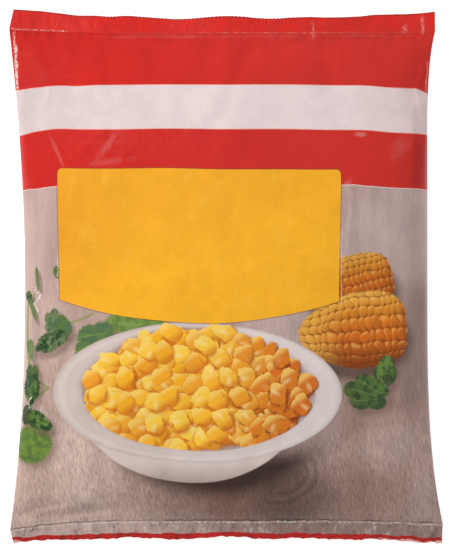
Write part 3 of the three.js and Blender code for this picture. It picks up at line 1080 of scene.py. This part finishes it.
# Painted light and shade in patches on the crumples
colour = mix(colour, ink(216, 200, 194), in_seal * ease(patches, 0.52, 0.74, 0, 0.62))
colour = mix(colour, ink(98, 74, 66), in_seal * ease(patches, 0.48, 0.26, 0, 0.7))
edge_wave = noise(join(across_film, 0), 0.16, 3, 0.6)
strip = up_film + ease(edge_wave, 0.3, 0.7, -0.35, 0.35)
next_red = mix(ink(188, 40, 36), ink(150, 40, 34), ease(patches, 0.55, 0.35))
colour = mix(colour, next_red, ease(strip, 2.3, 2.1))
flap = ease(size_of(across_film + 10), 68, 74) * ease(up_film + (edge_wave - 0.5) * 3, 0.8, 0.4)
colour = mix(colour, ink(232, 186, 180), flap * 0.85)

# Where the bottom weld begins, painted shade of a crease and a painted highlight on its lit edge; painted
# glints in a dotted line along the top weld and painted shade beside it; a redder top seal
at_weld = weld_film + weld_wave * 0.6
thin = ease(noise(point, 0.11, 2), 0.35, 0.6, 0.35, 1)
colour = mix(colour, ink(58, 38, 33), ease(size_of(at_weld), 0.5, 0.1) * bottom_end * thin * 0.62)
lit_edge = ease(size_of(at_weld - 0.65), 0.5, 0.1) * bottom_end
colour = mix(colour, ink(236, 224, 216), lit_edge * ease(dots, 0.48, 0.66, 0.1, 0.85))
# Painted glints in a dotted line along the top weld
top_weld = ease(size_of(weld_film + 0.1), 0.5, 0.15) * top_end
dotted = higher(ease(across_film, -61, -64), ease(size_of(across_film - 20), 34, 24, 0.12, 0.4))
colour = mix(colour, ink(240, 164, 152), top_weld * ease(dots, 0.46, 0.66, 0.1, 0.9) * dotted)
# Painted shade beside the top weld
colour = shade(colour, 1 - ease(size_of(weld_film + 0.9), 0.7, 0.1) * top_end * thin * 0.14)
top_seal = ease(weld_film, 0.1, 0.6) * top_end
colour = mix(colour, ink(226, 42, 34), top_seal * ease(patches, 0.4, 0.66, 0.2, 0.9))
colour = mix(colour, ink(120, 44, 38), ease(down_film, 0.55, 0.15, 0, 0.6))
# Painted shade in patches just below the top weld
painted_shade_below_weld = ease(weld_film, -0.4, -1.4) * ease(weld_film, -7, -2) * top_end
colour = shade(colour, 1 - painted_shade_below_weld * ease(patches, 0.42, 0.62, 0, 0.13))

# Pale marks: worn ink and painted glints on creases; lines that run down the film, which are painted
# highlights of its folds, painted glints in the top seal and pale lines along the panel's edges; and
# painted sheen in faint patches
# Worn ink and painted glints on the creases
worn_and_glint = ease(wear_and_glint_film + (dots - 0.5) * 0.9, 0.42, 0.75)
colour = mix(colour, ink(240, 226, 220), worn_and_glint * 0.85)
waver = (dots - 0.5) * 1.1 + (patches - 0.5) * 2.2
for line, start, end, width, amount in [
    # place across, start and end down the film, width, strength of the pale line
    # painted highlight of the fold at the film's left edge
    (-83.7, 9, 15, 0.6, 0.5),
    (-83.3, 15, 33, 0.9, 1),
    # pale lines along the panel's left and right edges
    (-66.2, 97, 114, 0.45, 0.5),
    (44.6, 88, 116, 0.35, 0.5),
    # painted highlight of the fold at the film's right edge
    (79.9, 21, 34, 0.6, 0.3),
    # painted glints in the top seal
    (34, 2, 9.5, 0.7, 0.16),
    (70.6, 4.5, 7.5, 1.4, 0.22),
    (77.6, 1.5, 8.5, 0.8, 0.24),
]:
    pale_line = ease(size_of(across_film - line + waver * width), width, width * 0.3)
    pale_line = pale_line * ease(down_film, start - 1.5, start + 1.5) * ease(down_film, end + 1.5, end - 1.5)
    colour = mix(colour, ink(244, 214, 206), pale_line * ease(dots, 0.36, 0.5) * amount)
# Painted sheen of the film in faint patches
for centre, radii, turn, amount in [
    # centre, radii, turn in degrees, strength of the painted sheen
    ((-46.3, 54.8), (6.5, 1.6), -55, 0.09),
    ((-45, 61.5), (9, 1.8), -8, 0.06),
    ((52, 50.6), (3.6, 0.9), 4, 0.2),
    ((69, 55), (4.4, 6.4), 20, 0.05),
    ((47, 70), (2.2, 3.4), 10, 0.16),
    ((47.5, 84), (1.4, 12), 2, 0.14),
    ((-66.5, 57.5), (0.8, 9), -24, 0.08),
    ((-30, 33), (12, 2), 5, 0.12),
]:
    painted_sheen = oval(point, centre, radii, turn) + (patches - 0.5) * 2.4
    colour = mix(colour, ink(240, 212, 206), ease(painted_sheen, 1.2, 0.2, 0, amount))

# Painted shade where the film turns away beside the upper right crease
painted_facet_shade = ease(across_film, 73.2, 74.6) * ease(down_film, 62, 30, 0.16, 0.09)
painted_facet_shade = painted_facet_shade + ease(across_film, 62, 76, 0, 0.09) * ease(down_film, 44, 58)
colour = shade(colour, 1 - painted_facet_shade * ease(down_film, 12, 18) * ease(down_film, 74, 70))

# Faint unevenness of ink and film, and a little painted shade along the left edge
mottle = noise(point, 0.09, 3, 0.6)
speck = noise(point, 1.1, 2, 0.8)
# Painted shade: the left edge a little darker
painted_left_shade = ease(across_film, -84, -48, 0.955, 1)
colour = shade(colour, (ease(mottle, 0.3, 0.7, 0.965, 1.03) + (speck - 0.5) * 0.12) * painted_left_shade)
rumple = noise(stretched(point, 1.4, 20), 0.45, 3, 0.6)
bump = make_node("Bump", [0], {"Strength": 0.35, "Distance": 0.0004, "Height": rumple})
coat(film, {"Base Color": colour, "Normal": bump, "Roughness": 0.27, "Specular IOR Level": 0.22})
bag.data.materials.append(film)
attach(bag, "root")
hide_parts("bag")

for name, seat, target, size, power, glossy in [
    # name, seat and target in metres, size, power in watts, whether the film reflects it
    ("key_left", (-1.2, 0.85, 0.95), (0, 0, 0), (0.8, 0.8), 11.5, False),
    ("overhead", (0, 0.1, 1.8), (0, 0, 0), (0.6, 0.6), 8.6, False),
    ("low_left", (-0.9, 0.1, 0.1), (0, 0, 0.01), (0.6, 0.14), 0.5, True),
    ("glint", (-0.5, 0.6, 1.2), (0, 0, 0), (0.12, 0.12), 0.7, True),
]:
    lamp = bpy.data.lights.new(name, "AREA")
    lamp.shape = "RECTANGLE"
    lamp.size, lamp.size_y = size
    lamp.energy = power
    light = add_object(name, lamp)
    light.location = seat
    light.rotation_euler = (Vector(target) - Vector(seat)).to_track_quat("-Z", "Y").to_euler()
    light.visible_glossy = glossy

world = bpy.data.worlds.new("studio")
bpy.context.scene.world = world
world.use_nodes = True
put(world.node_tree.nodes["Background"].inputs["Color"], (1, 1, 1))
put(world.node_tree.nodes["Background"].inputs["Strength"], 0.43)

# The floor lies a hair under the bag, and glows a little so that it stays pale
FLOOR_GAP = 0.0003
bpy.ops.mesh.primitive_plane_add(size=6, location=(0, 0, -FLOOR_GAP))
floor = bpy.context.object
floor.name = "floor"
pale = bpy.data.materials.new("pale_floor")
pale.use_nodes = True
coat(pale, {
    "Base Color": (0.9, 0.9, 0.9),
    "Roughness": 0.9,
    "Emission Color": (1, 1, 1),
    "Emission Strength": 0.55,
})
floor.data.materials.append(pale)

# The camera looks straight down. A pixel of the frame spans PIXEL where the bag's edges are
CAMERA_HEIGHT = 1.3
CAMERA_ASIDE = (0.0001, 0.0006)
EDGE_HEIGHT = 0.008
FRAME_ROWS = 551
PIXEL = 0.3926 * MM
camera_data = bpy.data.cameras.new("camera")
camera = add_object("camera", camera_data)
bpy.context.scene.camera = camera
camera_data.lens = camera_data.sensor_width * (CAMERA_HEIGHT - EDGE_HEIGHT) / (FRAME_ROWS * PIXEL)
camera.location = (*CAMERA_ASIDE, CAMERA_HEIGHT)
bpy.context.scene.view_settings.view_transform = "Standard"

bpy.context.view_layer.update()
